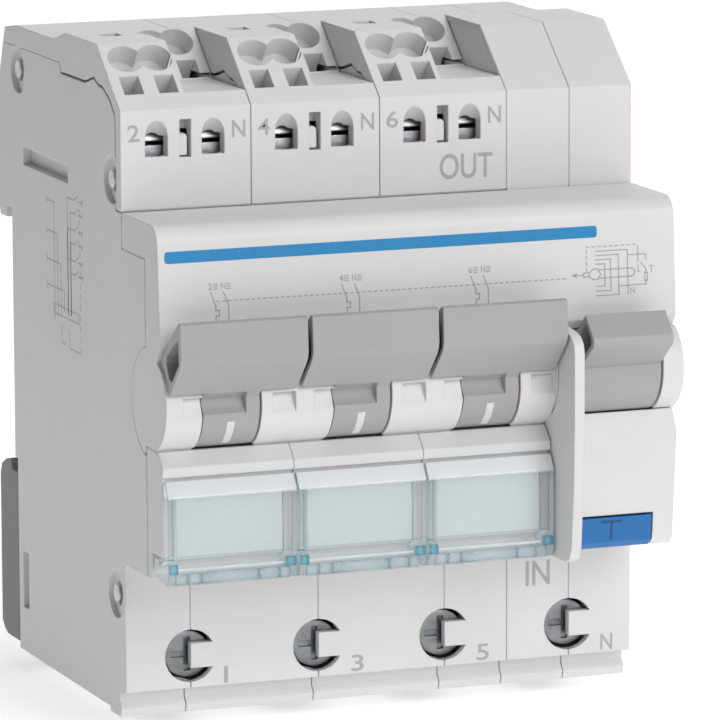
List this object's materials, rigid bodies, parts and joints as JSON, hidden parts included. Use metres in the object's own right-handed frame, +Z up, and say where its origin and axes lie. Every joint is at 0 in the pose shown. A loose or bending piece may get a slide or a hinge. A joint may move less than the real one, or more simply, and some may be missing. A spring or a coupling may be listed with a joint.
{
  "type": "residual current device",
  "caption": "DIN-rail residual current device block: miniature circuit breakers with grey rockers beside a residual current switch with lever, lever guard and blue test button.",
  "frame": {"origin": "centre of the rail seat on the back, at mid width", "axes": "+X along the rail to the right seen from the front, +Y into the wall behind the rail, +Z up; the front faces -Y"},
  "size_m": [0.07, 0.0752, 0.0881],
  "materials": {
    "housing_plastic": "light grey moulded polyamide",
    "rocker_plastic": "mid grey moulded plastic",
    "clear_plastic": "clear polycarbonate",
    "label_card": "pale label card",
    "button_plastic": "blue moulded plastic",
    "clip_plastic": "dark grey moulded plastic",
    "zinc_plated_steel": "zinc plated steel",
    "copper": "bare copper",
    "transformer_core": "resin-coated ring core with its windings",
    "dark_plastic": "black moulded plastic",
    "circuit_board": "green circuit board"
  },
  "bodies": {
    "housing": {"arc_chute_1": "zinc_plated_steel", "arc_chute_2": "zinc_plated_steel", "arc_chute_3": "zinc_plated_steel", "block_latch_1": "housing_plastic", "block_latch_2": "housing_plastic", "block_latch_3": "housing_plastic", "case_end_left": "housing_plastic", "case_middle_1": "housing_plastic", "case_middle_2": "housing_plastic", "case_middle_3": "housing_plastic", "front_cover": "housing_plastic", "label_card_1": "label_card", "label_card_2": "label_card", "label_card_3": "label_card", "label_holder_1": "housing_plastic", "label_holder_2": "housing_plastic", "label_holder_3": "housing_plastic", "output_clamp_1l": "zinc_plated_steel", "output_clamp_1n": "zinc_plated_steel", "output_clamp_2l": "zinc_plated_steel", "output_clamp_2n": "zinc_plated_steel", "output_clamp_3l": "zinc_plated_steel", "output_clamp_3n": "zinc_plated_steel", "push_in_block_1": "housing_plastic", "push_in_block_2": "housing_plastic", "push_in_block_3": "housing_plastic", "rcd_case_left": "housing_plastic", "rcd_case_right": "housing_plastic", "rcd_front": "housing_plastic", "sum_transformer": "transformer_core", "test_board": "circuit_board", "tie_screw_bottom_front": "zinc_plated_steel", "tie_screw_top_front": "zinc_plated_steel", "tie_screw_top_rear": "zinc_plated_steel", "trip_coil_1": "copper", "trip_coil_2": "copper", "trip_coil_3": "copper", "trip_relay": "dark_plastic"},
    "toggle_1": {"toggle_1": "rocker_plastic"},
    "contact_1": {"moving_contact_1": "copper"},
    "label_cover_1": {"label_cover_1": "clear_plastic"},
    "toggle_2": {"toggle_2": "rocker_plastic"},
    "contact_2": {"moving_contact_2": "copper"},
    "label_cover_2": {"label_cover_2": "clear_plastic"},
    "toggle_3": {"toggle_3": "rocker_plastic"},
    "contact_3": {"moving_contact_3": "copper"},
    "label_cover_3": {"label_cover_3": "clear_plastic"},
    "rcd_lever": {"rcd_lever": "rocker_plastic"},
    "test_button": {"test_button": "button_plastic"},
    "rail_clip_left": {"rail_clip_left": "clip_plastic"},
    "rail_clip_right": {"rail_clip_right": "clip_plastic"},
    "input_screw_1": {"input_screw_1": "zinc_plated_steel"},
    "input_cage_1": {"input_cage_1": "zinc_plated_steel"},
    "input_screw_2": {"input_screw_2": "zinc_plated_steel"},
    "input_cage_2": {"input_cage_2": "zinc_plated_steel"},
    "input_screw_3": {"input_screw_3": "zinc_plated_steel"},
    "input_cage_3": {"input_cage_3": "zinc_plated_steel"},
    "input_screw_4": {"input_screw_4": "zinc_plated_steel"},
    "input_cage_4": {"input_cage_4": "zinc_plated_steel"}
  },
  "joints": [
    {"name": "toggle_1_hinge", "type": "hinge", "parent": "housing", "child": "toggle_1", "pos_m": [-0.02625, -0.0561, 0.0007], "axis": [1, 0, 0], "range_deg": [0, 76]},
    {"name": "contact_1_hinge", "type": "hinge", "parent": "housing", "child": "contact_1", "pos_m": [-0.0289, -0.043, -0.006], "axis": [1, 0, 0], "range_deg": [-20, 0]},
    {"name": "label_cover_1_hinge", "type": "hinge", "parent": "housing", "child": "label_cover_1", "pos_m": [-0.02625, -0.0576, -0.0201], "axis": [1, 0, 0], "range_deg": [0, 95]},
    {"name": "toggle_2_hinge", "type": "hinge", "parent": "housing", "child": "toggle_2", "pos_m": [-0.00875, -0.0561, 0.0007], "axis": [1, 0, 0], "range_deg": [0, 76]},
    {"name": "contact_2_hinge", "type": "hinge", "parent": "housing", "child": "contact_2", "pos_m": [-0.0114, -0.043, -0.006], "axis": [1, 0, 0], "range_deg": [-20, 0]},
    {"name": "label_cover_2_hinge", "type": "hinge", "parent": "housing", "child": "label_cover_2", "pos_m": [-0.00875, -0.0576, -0.0201], "axis": [1, 0, 0], "range_deg": [0, 95]},
    {"name": "toggle_3_hinge", "type": "hinge", "parent": "housing", "child": "toggle_3", "pos_m": [0.00875, -0.0561, 0.0007], "axis": [1, 0, 0], "range_deg": [0, 76]},
    {"name": "contact_3_hinge", "type": "hinge", "parent": "housing", "child": "contact_3", "pos_m": [0.0061, -0.043, -0.006], "axis": [1, 0, 0], "range_deg": [-20, 0]},
    {"name": "label_cover_3_hinge", "type": "hinge", "parent": "housing", "child": "label_cover_3", "pos_m": [0.00875, -0.0576, -0.0201], "axis": [1, 0, 0], "range_deg": [0, 95]},
    {"name": "rcd_lever_hinge", "type": "hinge", "parent": "housing", "child": "rcd_lever", "pos_m": [0.02625, -0.0567, 0.0016], "axis": [1, 0, 0], "range_deg": [0, 76]},
    {"name": "test_button_slide", "type": "slide", "parent": "housing", "child": "test_button", "axis": [0, 1, 0], "range_m": [0, 0.0015], "stiffness_N_per_m": 400, "springref_m": -0.002},
    {"name": "rail_clip_left_slide", "type": "slide", "parent": "housing", "child": "rail_clip_left", "axis": [0, 0, -1], "range_m": [0, 0.004], "stiffness_N_per_m": 1500, "springref_m": -0.002},
    {"name": "rail_clip_right_slide", "type": "slide", "parent": "housing", "child": "rail_clip_right", "axis": [0, 0, -1], "range_m": [0, 0.004], "stiffness_N_per_m": 1500, "springref_m": -0.002},
    {"name": "input_screw_1_turn", "type": "hinge", "parent": "housing", "child": "input_screw_1", "pos_m": [-0.02625, -0.043, -0.0346], "axis": [0, 1, 0], "range_deg": [0, 1355]},
    {"name": "input_cage_1_slide", "type": "slide", "parent": "housing", "child": "input_cage_1", "axis": [0, -1, 0], "range_m": [0, 0.003]},
    {"name": "input_screw_2_turn", "type": "hinge", "parent": "housing", "child": "input_screw_2", "pos_m": [-0.00875, -0.043, -0.0346], "axis": [0, 1, 0], "range_deg": [0, 1355]},
    {"name": "input_cage_2_slide", "type": "slide", "parent": "housing", "child": "input_cage_2", "axis": [0, -1, 0], "range_m": [0, 0.003]},
    {"name": "input_screw_3_turn", "type": "hinge", "parent": "housing", "child": "input_screw_3", "pos_m": [0.00875, -0.043, -0.0346], "axis": [0, 1, 0], "range_deg": [0, 1355]},
    {"name": "input_cage_3_slide", "type": "slide", "parent": "housing", "child": "input_cage_3", "axis": [0, -1, 0], "range_m": [0, 0.003]},
    {"name": "input_screw_4_turn", "type": "hinge", "parent": "housing", "child": "input_screw_4", "pos_m": [0.02625, -0.043, -0.0346], "axis": [0, 1, 0], "range_deg": [0, 1355]},
    {"name": "input_cage_4_slide", "type": "slide", "parent": "housing", "child": "input_cage_4", "axis": [0, -1, 0], "range_m": [0, 0.003]}
  ],
  "couplings": [
    {"joint": "contact_1_hinge", "follows": "toggle_1_hinge", "ratio": -0.25},
    {"joint": "contact_2_hinge", "follows": "toggle_2_hinge", "ratio": -0.25},
    {"joint": "contact_3_hinge", "follows": "toggle_3_hinge", "ratio": -0.25},
    {"joint": "input_screw_1_turn", "follows": "input_cage_1_slide", "rad_per_m": 7854},
    {"joint": "input_screw_2_turn", "follows": "input_cage_2_slide", "rad_per_m": 7854},
    {"joint": "input_screw_3_turn", "follows": "input_cage_3_slide", "rad_per_m": 7854},
    {"joint": "input_screw_4_turn", "follows": "input_cage_4_slide", "rad_per_m": 7854}
  ]
}
